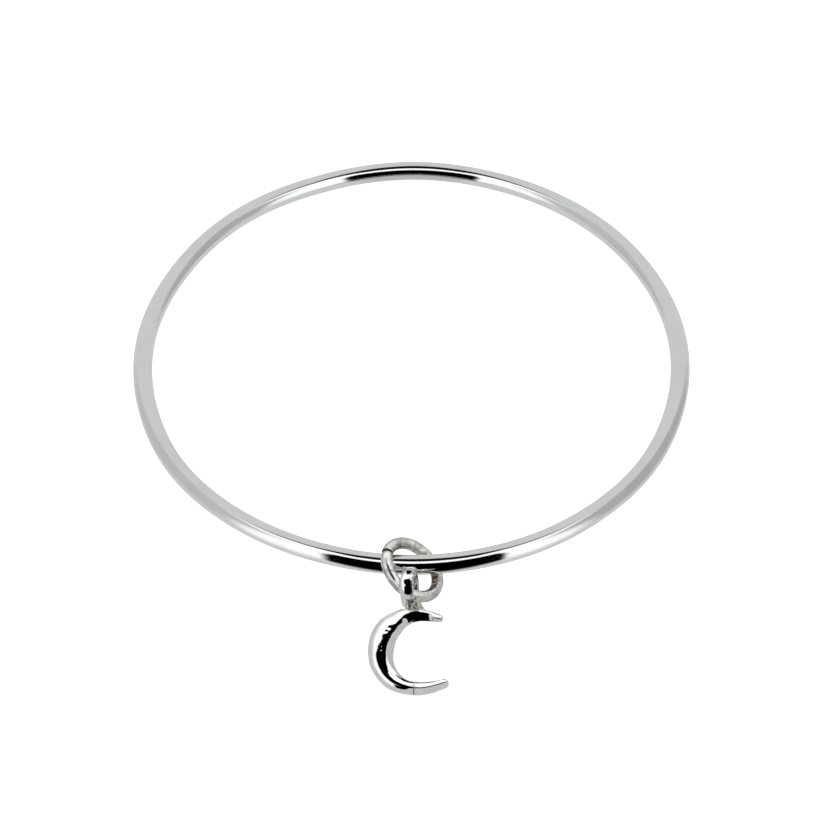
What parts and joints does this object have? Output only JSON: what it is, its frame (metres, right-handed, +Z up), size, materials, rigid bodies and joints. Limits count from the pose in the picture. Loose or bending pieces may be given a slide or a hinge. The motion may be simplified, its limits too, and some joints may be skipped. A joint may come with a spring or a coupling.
{
  "type": "charm bangle",
  "caption": "Plain closed round-wire bangle with a puffed crescent moon charm, its soldered bail hanging on an open jump ring.",
  "frame": {"origin": "centre of the bounding box's base, on the table the bangle lies on", "axes": "+X across the bangle, +Y from the charm at the front to the back of the bangle, +Z up from the table"},
  "size_m": [0.0698, 0.086, 0.0056],
  "materials": {
    "bangle_silver": "mirror-polished silver",
    "ring_silver": "satin silver with brown tarnish inside",
    "charm_silver": "polished silver, rough solder at the neck"
  },
  "bodies": {
    "root": {"bangle": "bangle_silver", "jump_ring": "ring_silver", "moon_charm": "charm_silver"}
  },
  "joints": []
}
